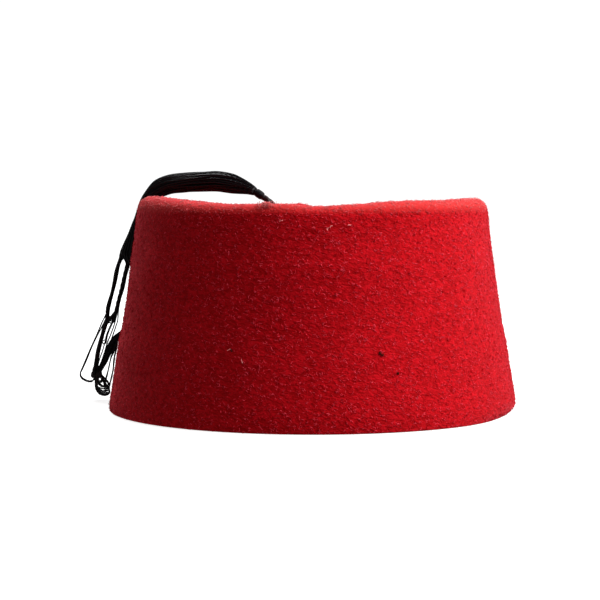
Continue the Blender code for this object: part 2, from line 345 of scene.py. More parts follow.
INNER_TO_GAP = INNER + ((99.6, 42.4), (100.5, 39.2), (101.8, 36.0), (103.5, 32.0), (105.1, 27.8),
                        (106.5, 23.6), (107.9, 19.4), (109.0, 15.2))
INNER_TO_KNUCKLE = INNER + ((99.8, 42.4), (100.9, 39.2), (102.6, 35.4), (104.1, 31.6))
FELT_TO_MASS = ((98.8, 31.8), (100.3, 30.2), (101.8, 28.4), (103.2, 26.0), (104.4, 23.2), (105.6, 20.2),
                (107.0, 17.2), (108.5, 14.0))
FELT_TO_MIDDLE = ((98.9, 31.0), (100.2, 28.6), (101.5, 26.2), (102.7, 23.8), (104.0, 21.2), (105.4, 18.6),
                  (107.0, 16.2), (108.6, 13.4))
FELT_TO_EDGE = ((98.6, 29.2), (99.3, 26.0), (100.2, 22.6), (100.9, 18.6), (101.4, 14.6), (102.5, 9.8),
                (103.4, 6.6))
FELT_TO_GAP = ((98.8, 29.6), (99.9, 26.4), (101.2, 23.2), (102.4, 20.4), (103.5, 15.8), (104.9, 10.8),
               (105.6, 7.2))
TURN_OUTER = ((118.8, 12.2), (118.1, 10.2), (115.8, 8.9), (113.4, 8.4), (111.5, 9.6))
TURN_SHORT = ((110.7, 11.2), (109.9, 8.9), (108.2, 8.2), (107.0, 9.8))
TURN_LOW = ((110.3, 9.0), (110.3, 5.2), (109.3, 2.9), (107.1, 2.0), (104.9, 2.0), (103.2, 3.4))
TURN_EDGE = ((110.0, 8.8), (109.6, 5.6), (108.0, 4.0), (105.8, 3.8))
TURN_BLOCK = ((103.9, 38.1), (102.2, 37.5), (100.4, 38.2))
TURN_KNUCKLE = ((107.3, 27.4), (106.2, 26.6), (105.0, 27.6))

# The loops that stand clear of the felt: way down, turn, way up, offset of each way in the plane, how far
# the turn is lifted, and the depth of each way along the line of sight. Strands that look like one in the
# photo lie at several depths.
CLEAR_LOOPS = (
    (OUTER_TO_LOOP, TURN_OUTER, INNER_TO_CORE, 0.2, 0.0, 0.0, -0.8, 1.6),
    (OUTER_TO_WEDGE, TURN_OUTER, INNER_TO_CORE, -0.1, -0.5, 0.4, 0.3, 2.6),
    (OUTER_TO_BLOCK, TURN_BLOCK, INNER_TO_BLOCK, 0.2, 0.1, 0.2, -1.2, -0.8),
    (OUTER_TO_BLOCK, TURN_BLOCK, INNER_TO_BLOCK, -0.3, 0.2, 1.7, 2.0, 1.6),
    (OUTER_TO_BLOCK, TURN_BLOCK, INNER_TO_BLOCK, 0.1, -0.3, 3.1, 0.6, 2.6),
    (OUTER_TO_BLOCK, TURN_BLOCK, INNER_TO_BLOCK, -0.1, 0.4, 1.0, 3.0, 0.6),
    (OUTER_TO_BLOCK, TURN_BLOCK, INNER_TO_BLOCK, 0.3, 0.3, 2.4, 1.4, 3.4),
    (OUTER_TO_CORE, TURN_SHORT, INNER_TO_CORE, 0.9, 0.5, 0.3, 1.2, -1.0),
    (OUTER_TO_CORE, TURN_SHORT, FELT_TO_MASS, 0.5, 0.2, 0.0, -1.6, 0.4),
    (OUTER_TO_CORE, TURN_SHORT, FELT_TO_MIDDLE, -0.7, 0.6, 0.6, 1.6, 2.0),
    (OUTER_TO_CORE, TURN_LOW, FELT_TO_EDGE, 0.1, 0.0, 0.0, 2.8, 1.6),
    (OUTER_TO_CORE, TURN_LOW, FELT_TO_MASS, -0.3, 0.8, 1.2, 3.6, 2.6),
    (OUTER_TO_CORE, TURN_KNUCKLE, INNER_TO_KNUCKLE, -0.2, 0.0, 0.4, 2.2, 0.8),
    (OUTER_TO_CORE, TURN_KNUCKLE, INNER_TO_KNUCKLE, 0.2, 0.5, 2.0, -0.6, 2.0),
    (INNER_TO_CORE, TURN_EDGE, FELT_TO_EDGE, 0.7, 0.0, 0.3, 3.2, 1.0),
    (INNER_TO_CORE, TURN_LOW, FELT_TO_MIDDLE, -0.6, 0.0, 0.7, 0.4, 3.2),
    (INNER_TO_GAP, TURN_EDGE, FELT_TO_MASS, 0.6, -0.7, 0.9, -0.6, 0.8),
    (INNER_TO_GAP, TURN_LOW, FELT_TO_GAP, -0.9, 0.0, 2.2, 1.4, 0.2),
    (INNER_TO_GAP, TURN_EDGE, FELT_TO_MIDDLE, -2.2, -0.6, 2.8, 2.4, 3.4),
    (FELT_TO_MASS, TURN_LOW, FELT_TO_GAP, 1.1, 0.1, 0.5, 1.0, 3.2),
    (FELT_TO_MIDDLE, TURN_EDGE, FELT_TO_EDGE, -0.9, 0.1, 2.4, 2.6, 0.6),
    (FELT_TO_MASS, TURN_LOW, FELT_TO_MASS, 1.3, 0.2, 3.4, 0.0, 2.0),
    (FELT_TO_MIDDLE, TURN_LOW, FELT_TO_MASS, 0.7, 0.6, 4.6, 2.2, 3.8),
    (FELT_TO_MIDDLE, TURN_SHORT, FELT_TO_MASS, 0.4, -0.4, -0.6, 3.8, 4.6),
)
HIDDEN_LOOPS = 36
LINE_OF_SIGHT = Vector((-0.115, 0.993, 0))  # past the left side
EDGE_OF_SIGHT = 1.078  # the tassel's reach that the crown just covers, as a share of the felt's radius there
SIGHT_SLOPE = 0.37  # how much further that is for each mm towards the back
SIGHT_MARGIN = 1.3  # how far the covered strands stay within it
LIES_ON_FELT = 0.25  # gap between the felt and a thread on it
FREE_BELOW = 40  # a strand whose way starts below this comes down covered by the crown
FANNED_FROM = 46  # the strands fan out below this height,
FANNED_OVER = 8  # fully so this much lower
LEAST_FANNED = {OUTER[0]: 1, INNER[0]: 0.45}  # share of it that a way has from its start
LEAST_FANNED_ON_FELT = 0.3
HIDDEN_HALF_WIDTH = 6.6
HIDDEN_FAR_SIDE = 9.5  # the furthest that a hidden thread goes towards the back
HIDDEN_FROM = 62  # height at which the hidden loops leave the bundle
HIDDEN_LEG_ROWS = 6
HIDDEN_TURN_STEPS = 6
BOUND_OVER = 90 * MM  # the length that the thread's thickness is worked out over
GOLDEN_ANGLE = math.pi * (3 - math.sqrt(5))

draw = np.random.default_rng(11)


def thread_scale(share):
    """A thread's thickness along the bundle: the binding squeezes it."""
    eased = min(max(share, 0) * 4.5, 1)
    return 0.42 + 0.58 * eased * eased * (3 - 2 * eased)


def bundle_points(place, phase):
    """A thread's points in the bundle, from its place there: share of the radius, and angle at the lower end.

    The bundle turns a quarter round over its length, and each thread strays a little in it.
    """
    share, angle = place
    points = []
    last = len(BUNDLE_SECTIONS) - 1
    for index, (reach, height, thick, wide) in enumerate(BUNDLE_SECTIONS):
        before, after = BUNDLE_SECTIONS[max(index - 1, 0)], BUNDLE_SECTIONS[min(index + 1, last)]
        heading = in_plane(*after[:2]) - in_plane(*before[:2])
        up = ACROSS.cross(heading).normalized()
        stray = 0.09 * math.sin(0.9 * index + phase) * math.sin(math.pi * index / last)
        turned = angle - 0.5 * math.pi * (1 - index / last) + 1.2 * stray
        off = min(share + stray, 0.98)
        edge = 2 * THREAD_RADIUS * thread_scale(index / last)
        across = off * math.cos(turned) * (wide - edge) / 2
        rise = off * math.sin(turned) * (thick - edge) / 2
        points.append(in_plane(reach, height) + (ACROSS * across + up * rise) * MM)
    return points


def side_radius(height):
    """The radius of the felt's outer side at a height, both in mm."""
    return np.interp(height, [row[1] for row in SIDE_SECTIONS], [row[0] for row in SIDE_SECTIONS])


def covered_point(height, across, share):
    """A point that the crown covers in the photo, from share 0 on the felt to 1 at the crown's outline."""
    radius = side_radius(height)
    on_felt = math.sqrt(radius ** 2 - across ** 2) + THREAD_RADIUS + LIES_ON_FELT
    at_edge = EDGE_OF_SIGHT * radius + SIGHT_SLOPE * across - SIGHT_MARGIN
    return in_plane(on_felt + share * max(at_edge - on_felt, 0), height, across)


def clear_points(way, offset, depth):
    """The points of a strand that stands clear. One that starts low comes down covered by the crown."""
    points = []
    start = way[0][1]
    if start < FREE_BELOW:
        heights = [height for height in (62, 54, 46) if height > start + 8] + [start + 5]
        points = [covered_point(height, 2 + depth / 2, 0.75) for height in heights]
    least = LEAST_FANNED.get(way[0], LEAST_FANNED_ON_FELT)
    for index, (reach, height) in enumerate(way):
        wander = 0.14 * math.sin(1.9 * index + 5 * depth)
        beside = offset * min(max((FANNED_FROM - height) / FANNED_OVER, least), 1) + wander
        points.append(in_plane(reach + beside, height) + LINE_OF_SIGHT * (depth * MM))
    return points


def covered_loop(first, second, number):
    """Two legs and the turn of a loop that hangs on the felt, where the photo's view of it is covered."""
    low = draw.uniform(5, 9) + 9 * draw.random() ** 2
    sway = draw.uniform(-0.9, 0.9)
    legs = []
    for share, angle in (first, second):
        across = HIDDEN_HALF_WIDTH * share * math.cos(angle) + 0.8
        off = 0.5 + 0.5 * share * math.sin(angle)
        leg = []
        for index, height in enumerate(np.linspace(HIDDEN_FROM, low + 3, HIDDEN_LEG_ROWS)):
            swayed = sway * (index / (HIDDEN_LEG_ROWS - 1)) ** 2
            strayed = across * (1 + 0.05 * index) + swayed + 0.35 * math.sin(index * 1.3 + number)
            beside = max(min(strayed, HIDDEN_FAR_SIDE), -HIDDEN_HALF_WIDTH)
            leg.append((height, beside, off * (1 - 0.08 * index)))
        legs.append(leg)
    (_, left, left_off), (_, right, right_off) = legs[0][-1], legs[1][-1]
    turn = []
    for step in range(1, HIDDEN_TURN_STEPS):
        share = step / HIDDEN_TURN_STEPS
        spread = 0.5 - 0.5 * math.cos(math.pi * share)
        drop = min(abs(right - left) / 2 + 0.6, 2.4) * math.sin(math.pi * share)
        turn.append(covered_point(low + 2 - drop, left + (right - left) * spread,
                                  left_off + (right_off - left_off) * spread))
    down, up = ([covered_point(*point) for point in leg] for leg in legs)
    return down + turn + up[::-1]


def thread_runs():
    """The path of each looped thread, down one leg and up the other, with its radii."""
    loops = len(CLEAR_LOOPS) + HIDDEN_LOOPS
    legs = 2 * loops
    places = [(math.sqrt(0.06 + 0.94 * (spot + 0.5) / legs), spot * GOLDEN_ANGLE) for spot in range(legs)]
    places.sort(key=lambda place: -place[0] * math.sin(place[1]))
    kinds = {"outer": [], "inner": [], "felt": []}
    wanted = [way for down, _, up, *_ in CLEAR_LOOPS for way in (down, up)]
    kind_of = {way: {OUTER[0]: "outer", INNER[0]: "inner"}.get(way[0], "felt") for way in wanted}
    for kind in kinds:
        count = sum(kind_of[way] == kind for way in wanted)
        kinds[kind], places = places[:count], places[count:]
    places.sort(key=lambda place: place[0] * math.cos(place[1]))
    paths = []
    for down, turn, up, off, back_off, lift, depth, back_depth in CLEAR_LOOPS:
        first, second = kinds[kind_of[down]].pop(0), kinds[kind_of[up]].pop(0)
        bend = []
        for (reach, height), share in zip(turn, np.linspace(0, 1, len(turn) + 2)[1:-1]):
            beside, behind = off + (back_off - off) * share, depth + (back_depth - depth) * share
            bend.append(in_plane(reach + beside / 2, height + lift) + LINE_OF_SIGHT * (behind * MM))
        loop = clear_points(down, off, depth) + bend + clear_points(up, back_off, back_depth)[::-1]
        paths.append((first, loop, second))
    for number in range(HIDDEN_LOOPS):
        first, second = places[2 * number:2 * number + 2]
        paths.append((first, covered_loop(first, second, number), second))
    runs = []
    for first, loop, second in paths:
        phases = draw.uniform(0, 2 * math.pi, 2)
        start, end = bundle_points(first, phases[0]), bundle_points(second, phases[1])[::-1]
        path = smooth_path(start + loop + end, THREAD_SPACING)
        gone = np.arange(len(path)) * THREAD_SPACING
        from_end = np.minimum(gone, gone[-1] - gone) / BOUND_OVER
        runs.append((path, THREAD_RADIUS * MM * np.array([thread_scale(share) for share in from_end])))
    return runs


thread_rayon = twisted_rayon("twisted_rayon_thread", "#020203", "#0d0d11", plies=2, lay=THREAD_LAY,
                             groove_depth=0.08 * MM, Roughness=0.24, Specular_IOR_Level=0.24)
threads = add_piece("tassel_threads", thread_mesh("tassel_threads", thread_runs(), THREAD_SIDES),
                    thread_rayon, "thread", "tassel_skirt")


# --- Cord knots ---------------------------------------------------------------
# Two overhand knots in the same cord: one under the felt, which keeps the cord from pulling out, and a loose
# one at the cord's lower end. Places are (reach, height) in mm.
KNOT_UNDER_FROM = (14.5, 90.45)
KNOT_UNDER_AT = (11.3, 87.9)
KNOT_UNDER_TAIL = (8.0, 85.0)
KNOT_END_AT = (110.3, 13.2)
KNOT_END_TAIL = (110.2, 6.0)
KNOT_END_STRETCH = 1.3  # it is looser
KNOT_SIZE = 0.72 * MM
KNOT_TAIL_LENGTH = 6 * MM
KNOT_STEPS = 64
KNOT_RING_SPACING = 0.5 * MM
KNOT_SIDES = 10
KNOT_GROOVE = 0.14


def overhand_knot(centre, stretch, start, end):
    """An overhand knot's path, about a centre. It comes in from start and leaves with a tail towards end."""
    toward = (start - centre).normalized()
    side = toward.cross(Vector((0.3, 0.9, 0.2))).normalized()
    third = toward.cross(side)
    points = [start]
    for step in range(KNOT_STEPS + 1):
        t = 2 * math.pi * (0.06 + 0.88 * step / KNOT_STEPS)
        x = math.sin(t) + 2 * math.sin(2 * t)
        y = math.cos(t) - 2 * math.cos(2 * t)
        z = -math.sin(3 * t) * 1.15
        points.append(centre + (toward * -y * stretch + side * x + third * z) * KNOT_SIZE)
    points.append(centre + (end - centre).normalized() * KNOT_TAIL_LENGTH)
    return smooth_path(points, KNOT_RING_SPACING)


def knot_mesh(name, path, radius):
    """A knot of the plied cord along a path."""
    radii = np.full(len(path), radius)
    return thread_mesh(name, [(path, radii)], KNOT_SIDES, CORD_PLIES, CORD_LAY, KNOT_GROOVE)


under_path = overhand_knot(in_plane(*KNOT_UNDER_AT), 1, in_plane(*KNOT_UNDER_FROM),
                           in_plane(*KNOT_UNDER_TAIL))
under_mesh = knot_mesh("cord_knot_under_felt", under_path, 0.4 * CORD_FULL_DIAMETER)
under_knot = add_piece("cord_knot_under_felt", under_mesh, cord_rayon, "thread", "cord_knot")
end_path = overhand_knot(in_plane(*KNOT_END_AT), KNOT_END_STRETCH, in_plane(*CORD_ROUTE[-1]),
                         in_plane(*KNOT_END_TAIL))
end_mesh = knot_mesh("cord_end_knot", end_path, 0.42 * CORD_DIAMETER)
end_knot = add_piece("cord_end_knot", end_mesh, cord_rayon, "thread")


# --- Crown --------------------------------------------------------------------
# One piece of wool felt, 2.5 mm thick, steamed over a block: a drum that widens to its rim, with a rounded
# shoulder. The soft top has settled between its edges, and the knot under it lifts a low dome on the left.
FELT = 2.5 * MM
CROWN_HEIGHT = 98 * MM
SHOULDER_RADIUS = 5.5 * MM
LIP_RADIUS = 0.5 * MM
CROWN_SIDES = 160
RING_SPACING = 3.2 * MM
SHOULDER_STEPS = 7
TOP_RINGS = 24

# Height of the top's edge in mm, by its bearing in degrees from +X towards +Y.
RIM_HEIGHTS = ((0, 98.1), (30, 97.3), (60, 95.6), (90, 94.3), (120, 95.2), (150, 97.4), (163, 97.8),
               (172, 97.9), (184, 98.6), (195, 99.3), (210, 98.4), (225, 96.9), (240, 95.8), (255, 95.9),
               (262, 95.9), (272, 94.9), (285, 95.9), (300, 97.1), (315, 97.6), (330, 98.0))
RIM_BLEND_FROM = 55 * MM
TOP_CENTRE_HEIGHT = 91.5 * MM
TOP_FLAT_SHARE = 0.4
DOME_CENTRE = Vector((-6.2 * MM, 0, 0))
DOME_HEIGHT = 4.7 * MM
DOME_RADII = (24 * MM, 15 * MM)  # towards the tassel and away from it
HOLE_RADIUS = 1.8 * MM
HOLE_FROM_TO = ((14.4, 90.35), (18.7, 94.3))

# Unevenness of the hand-pulled felt, as (size, depth), and a mark of wear.
WAVES = ((34 * MM, 0.55 * MM), (13 * MM, 0.16 * MM))
WAVES_FROM = 10 * MM  # they fade out below this, so that the rim stands flat
UPWARD_FROM = 86 * MM  # over the shoulder the waves go up and down instead of in and out
UPWARD_OVER = 12 * MM
LIP_TUCK = 2.4 * MM  # the rim's corner is worn round on the right
LIP_TUCK_HEIGHT = 3.2 * MM
LIP_TUCK_AT = math.radians(-16)
LIP_TUCK_HALF = math.radians(32)


def smooth_step(share):
    """A share kept within 0 and 1, with an eased start and end."""
    share = min(max(share, 0), 1)
    return share * share * (3 - 2 * share)


def rim_height(bearing_deg):
    """Height of the top's edge at a bearing, on a smooth closed curve through the table."""
    at = bearing_deg % 360
    count = len(RIM_HEIGHTS)
    index = max(i for i in range(count) if RIM_HEIGHTS[i][0] <= at)
    start = RIM_HEIGHTS[index][0]
    end = RIM_HEIGHTS[(index + 1) % count][0] or 360
    share = (at - start) / (end - start)
    heights = [RIM_HEIGHTS[(index + step) % count][1] * MM for step in (-1, 0, 1, 2)]
    return curve_between(*heights, share)


def settled(point):
    """A point of the plain blocked crown, moved to where the soft felt has settled."""
    x, y, z = point
    reach = math.hypot(x, y)
    bearing = math.atan2(y, x)
    rise = rim_height(math.degrees(bearing)) - CROWN_HEIGHT
    top_reach = SIDE_SECTIONS[-1][0] * MM - SHOULDER_RADIUS
    if reach >= top_reach:
        blend_to = CROWN_HEIGHT - SHOULDER_RADIUS
        lift = rise * smooth_step((z - RIM_BLEND_FROM) / (blend_to - RIM_BLEND_FROM))
    else:
        edge = smooth_step((reach / top_reach - TOP_FLAT_SHARE) / (1 - TOP_FLAT_SHARE))
        from_dome = Vector((x, y, 0)) - DOME_CENTRE
        away = math.hypot(from_dome.x / DOME_RADII[from_dome.x > 0], from_dome.y / DOME_RADII[1])
        dome = DOME_HEIGHT * math.cos(min(away, 1) * math.pi / 2) ** 2
        lift = rise * edge + (TOP_CENTRE_HEIGHT - CROWN_HEIGHT) * (1 - edge) + dome
    wave = sum(depth * noise.noise(Vector((x, y, z)) / size) for size, depth in WAVES)
    wave *= smooth_step(z / WAVES_FROM)
    upward = smooth_step((z - UPWARD_FROM) / UPWARD_OVER) if reach < top_reach + SHOULDER_RADIUS else 0
    from_tuck = abs(bearing - LIP_TUCK_AT) / LIP_TUCK_HALF
    tuck = LIP_TUCK * (1 - smooth_step(z / LIP_TUCK_HEIGHT)) * (1 - smooth_step(from_tuck))
    out = wave * (1 - upward) - tuck
    share = (reach + out) / reach if reach > MM else 1
    return Vector((x * share, y * share, z + lift + wave * upward))


def crown_rings():
    """(radius, height) of each ring: up the side, round the shoulder and in to the middle of the top."""
    side = smooth_path([(radius * MM, 0, height * MM) for radius, height in SIDE_SECTIONS], RING_SPACING)
    rings = [(row[0], row[2]) for row in side]
    centre = rings[-1][0] - SHOULDER_RADIUS
    for step in range(1, SHOULDER_STEPS + 1):
        turn = math.pi / 2 * step / SHOULDER_STEPS
        rings.append((centre + SHOULDER_RADIUS * math.cos(turn),
                      CROWN_HEIGHT - SHOULDER_RADIUS + SHOULDER_RADIUS * math.sin(turn)))
    rings += [(centre * (1 - step / TOP_RINGS), CROWN_HEIGHT) for step in range(1, TOP_RINGS)]
    return rings


bpy.ops.object.select_all(action="DESELECT")
rings = crown_rings()
bpy.ops.mesh.primitive_circle_add(vertices=CROWN_SIDES, radius=rings[0][0], location=(0, 0, rings[0][1]))
crown = bpy.context.object
crown.name = "crown_felt"
bpy.ops.object.mode_set(mode="EDIT")
for (radius, height), (next_radius, next_height) in zip(rings, rings[1:]):
    bpy.ops.mesh.extrude_region_move(TRANSFORM_OT_translate={"value": (0, 0, next_height - height)})
    scale = next_radius / radius
    bpy.ops.transform.resize(value=(scale, scale, 1), center_override=(0, 0, next_height))
bpy.ops.mesh.extrude_region_move(TRANSFORM_OT_translate={"value": (0, 0, 0)})
bpy.ops.mesh.merge(type="CENTER")
bpy.ops.mesh.select_all(action="SELECT")
bpy.ops.mesh.normals_make_consistent(inside=False)
bpy.ops.object.mode_set(mode="OBJECT")
bpy.ops.object.transform_apply(location=True, rotation=True, scale=True)

wall = crown.modifiers.new("wall", "SOLIDIFY")
wall.thickness = FELT
wall.offset = -1
lip = crown.modifiers.new("lip", "BEVEL")
lip.width = LIP_RADIUS
lip.segments = 3
lip.limit_method = "ANGLE"
lip.angle_limit = math.radians(60)
for modifier in (wall, lip):
    bpy.ops.object.modifier_apply(modifier=modifier.name)
for vertex in crown.data.vertices:
    vertex.co = settled(vertex.co)

hole_start, hole_end = (in_plane(*row) for row in HOLE_FROM_TO)
bpy.ops.object.select_all(action="DESELECT")
bpy.ops.mesh.primitive_cylinder_add(vertices=24, radius=HOLE_RADIUS, depth=9 * MM)
awl = bpy.context.object
awl.matrix_world = (Matrix.Translation((hole_start + hole_end) / 2)
                    @ (hole_end - hole_start).to_track_quat("Z", "Y").to_matrix().to_4x4())
bpy.context.view_layer.objects.active = crown
hole = crown.modifiers.new("cord hole", "BOOLEAN")
hole.object = awl
bpy.ops.object.modifier_apply(modifier=hole.name)
bpy.data.objects.remove(awl, do_unlink=True)
bpy.ops.object.select_all(action="DESELECT")
crown.select_set(True)
bpy.ops.object.shade_smooth_by_angle(angle=math.radians(50))

# Sizes of the felt's pattern along the hat's width, depth and height.
RIPPLE_SIZE = (2.7 * MM, 2.7 * MM, 1.3 * MM)
FIBRE_SIZE = (1.0 * MM, 1.0 * MM, 0.55 * MM)
FIBRE_SHARE = 0.6  # height of the fibres against the ripples
FELT_SLANT = math.radians(-13)
FELT_DEPTH = 0.5 * MM
PATCH_SIZE = 22 * MM
PATCH_STRENGTH = 0.07
SHEEN_PAINT_REACH = (66 * MM, 76 * MM)  # painted sheen: the wool is drawn paler beyond this,
SHEEN_PAINT_HEIGHT = (91.5 * MM, 95.5 * MM)  # and above this


def painted_shoulder_sheen(tree, place, colour, sheen_colour):
    """Painted sheen: the wool round the shoulder is drawn a paler red, for the light that grazes it there."""
    sides = add_node(tree, "VectorMath", {0: place, 1: (1, 1, 0)}, operation="MULTIPLY")
    reach = add_node(tree, "VectorMath", {0: sides.outputs[0]}, operation="LENGTH")
    outer = add_node(tree, "MapRange", {"Value": reach.outputs["Value"], "From Min": SHEEN_PAINT_REACH[0],
                                        "From Max": SHEEN_PAINT_REACH[1]})
    height = add_node(tree, "SeparateXYZ", {"Vector": place})
    high = add_node(tree, "MapRange", {"Value": height.outputs["Z"], "From Min": SHEEN_PAINT_HEIGHT[0],
                                       "From Max": SHEEN_PAINT_HEIGHT[1]})
    share = add_node(tree, "Math", {0: outer.outputs[0], 1: high.outputs[0]}, operation="MULTIPLY")
    return mixed(tree, share.outputs[0], colour, linear(sheen_colour))


def wool_felt():
    """Brushed wool felt: matt deep red, soft sheen, and painted shade in its pits and highlight on its
    ripples.
    """
    made, tree, shader = new_material("brushed_wool_felt", Roughness=0.85, Specular_IOR_Level=0.04,
                                      Sheen_Weight=0.6, Sheen_Roughness=0.45, Sheen_Tint=linear("#ff6672"))
    place = add_node(tree, "TexCoord").outputs["Object"]
    slanted = add_node(tree, "Mapping", {"Vector": place, "Rotation": (0, FELT_SLANT, 0)})
    layers = []
    for sizes, detail in ((RIPPLE_SIZE, 1.5), (FIBRE_SIZE, 2)):
        at = add_node(tree, "Mapping", {"Vector": slanted.outputs[0], "Scale": [1 / size for size in sizes]})
        layers.append(add_node(tree, "TexNoise", {"Vector": at.outputs[0], "Scale": 1, "Detail": detail,
                                                  "Distortion": 0.9}).outputs["Fac"])
    height = add_node(tree, "Math", {0: layers[1], 1: FIBRE_SHARE, 2: layers[0]}, operation="MULTIPLY_ADD")
    patch = add_node(tree, "TexNoise", {"Vector": place, "Scale": 1 / PATCH_SIZE, "Detail": 3})
    spread = add_node(tree, "MapRange", {"Value": patch.outputs["Fac"], "From Min": 0.3, "From Max": 0.7,
                                         "To Min": -PATCH_STRENGTH, "To Max": PATCH_STRENGTH})
    # Painted shade and highlight: the colour goes from dark in the pits to light on the raised ripples, and
    # patches vary it at random.
    raised = add_node(tree, "MapRange", {"Value": height.outputs[0], "From Min": 0.68, "From Max": 0.97})
    relief_shade_and_patches = add_node(tree, "Math", {0: raised.outputs[0], 1: spread.outputs[0]}, operation="ADD",
                     use_clamp=True)
    colour = mixed(tree, relief_shade_and_patches.outputs[0], linear("#a40006"), linear("#cd0a18"))
    # Painted sheen: a paler red round the shoulder.
    colour = painted_shoulder_sheen(tree, place, colour, "#c4302e")
    bump = add_node(tree, "Bump", {"Height": height.outputs[0], "Distance": FELT_DEPTH, "Strength": 1})
    tree.links.new(colour, shader.inputs["Base Color"])
    tree.links.new(bump.outputs["Normal"], shader.inputs["Normal"])
    return made


crown.data.materials.append(wool_felt())
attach(crown, "root")
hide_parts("crown")


# --- Nap ----------------------------------------------------------------------
# The wool's fibre ends, raised by brushing. Real ones are finer and far more, so each curl here is a tuft of
# them. They lie on the felt, mostly leaning round the hat and a little down, and fringe its outline.
NAP_PIECES = (("nap_side_low", 3, 0.2 * MM, 44 * MM), ("nap_side_high", 4, 44 * MM, 88 * MM),
              ("nap_top", 5, 88 * MM, 110 * MM))  # name, seed, lowest and highest root
NAP_CURLS = 18000  # in each piece
NAP_LENGTH = (1.2 * MM, 2.6 * MM)
NAP_RADIUS = 0.13 * MM
NAP_ROOT = 0.15 * MM  # how deep a curl starts in the felt
NAP_SLANT = math.radians(-18)
NAP_SPREAD = math.radians(35)
NAP_ANY_WAY = 0.35  # share of the curls that lie in any direction
NAP_LIFT_SPREAD = math.radians(10)
NAP_DROOP = math.radians(38)  # the outer half of a curl bends back to the felt by this
NAP_BEND = math.radians(50)
CLUMP_STRAY = 0.3  # how far the nap keeps out of clumps: the more, the more even it is
TUFT_AT = (-20.3 * MM, -75.5 * MM, 96.0 * MM)  # wool that is pulled up on the front edge
TUFT_SPREAD = 2.2 * MM
TUFT_CURLS = 160


def nap_mesh(name, count, seed, from_height, to_height, lifted_deg=16, spot=None):
    """Curls spread over the outside of the crown between two heights, or round one spot of it.

    Each has a bend, three sides and a tip.
    """
    felt = crown.data
    felt.calc_loop_triangles()
    corners = np.array([triangle.vertices for triangle in felt.loop_triangles])
    points = np.empty(len(felt.vertices) * 3)
    felt.vertices.foreach_get("co", points)
    points = points.reshape(-1, 3)
    # Piercing the hole leaves the faces in no fixed order, so they are taken in the order of their places.
    corners = corners[np.lexsort(points[corners].mean(axis=1).T)]
    normals = np.array([tuple(vertex.normal) for vertex in felt.vertices])
    spots = points[corners]
    flat = np.cross(spots[:, 1] - spots[:, 0], spots[:, 2] - spots[:, 0])
    area = np.linalg.norm(flat, axis=1)
    middle = spots.mean(axis=1)
    outside = ((flat * (middle - (0, 0, 40 * MM))).sum(axis=1) > 0) & (flat[:, 2] > -0.7 * area)
    area = area * outside * (middle[:, 2] >= from_height) * (middle[:, 2] < to_height)
    if spot:
        area = area * np.exp(-((middle - spot) ** 2).sum(axis=1) / TUFT_SPREAD ** 2)
    draw = np.random.default_rng(seed)
    tried = 2 * count
    chosen = draw.choice(len(corners), tried, p=area / area.sum())
    weight = np.sqrt(draw.random((tried, 1)))
    share = draw.random((tried, 1))
    mix = np.stack([1 - weight, weight * (1 - share), weight * share], axis=1)
    root = (spots[chosen] * mix).sum(axis=1)
    slant = Matrix.Rotation(NAP_SLANT, 3, "Y")
    clumps = [noise.noise(Vector(np.array(slant @ Vector(at)) / RIPPLE_SIZE)) for at in root]
    kept = np.argsort(np.array(clumps) + draw.normal(0, CLUMP_STRAY, tried))[count:]
    root = root[kept]
    up = (normals[corners[chosen]] * mix).sum(axis=1)[kept]
    up /= np.linalg.norm(up, axis=1)[:, None]
    around = np.stack([-root[:, 1], root[:, 0], np.zeros(count)], axis=1)
    around -= up * (around * up).sum(axis=1)[:, None]
    around /= np.linalg.norm(around, axis=1)[:, None]
    rising = np.cross(up, around)

    turn = np.where(draw.random(count) < NAP_ANY_WAY, draw.uniform(-math.pi, math.pi, count),
                    draw.normal(NAP_SLANT, NAP_SPREAD, count))
    length = draw.uniform(*NAP_LENGTH, count)[:, None] / 2
    lift = draw.normal(math.radians(lifted_deg), NAP_LIFT_SPREAD, count)
    stem = root - up * NAP_ROOT
    joints, side = [stem], None
    for lean, bend in ((lift, 0), (lift - NAP_DROOP, draw.normal(0, NAP_BEND, count))):
        heading = around * np.cos(turn + bend)[:, None] + rising * np.sin(turn + bend)[:, None]
        step = (heading * np.cos(lean)[:, None] + up * np.sin(lean)[:, None]) * length
        joints.append(joints[-1] + step)
        side = np.cross(up, heading) if side is None else side
    knee, tip = joints[1:]
    thick = NAP_RADIUS * draw.uniform(0.7, 1.3, count)[:, None]
    rings = [at + offset * thick * size for at, size in ((stem, 0.8), (knee, 1))
             for offset in (side, up, -side)]
    points = np.stack([*rings, tip], axis=1).reshape(-1, 3)
    points[:, 2] = np.maximum(points[:, 2], 0)
    first = (np.arange(count) * 7)[:, None]
    quads = np.concatenate([first + row for row in ((0, 1, 4, 3), (1, 2, 5, 4), (2, 0, 3, 5))])
    thirds = np.concatenate([first + row for row in ((3, 4, 6), (4, 5, 6), (5, 3, 6), (2, 1, 0))])
    mesh = bpy.data.meshes.new(name)
    mesh.from_pydata(points.tolist(), [], quads.tolist() + thirds.tolist())
    mesh.polygons.foreach_set("use_smooth", [True] * len(mesh.polygons))
    return mesh


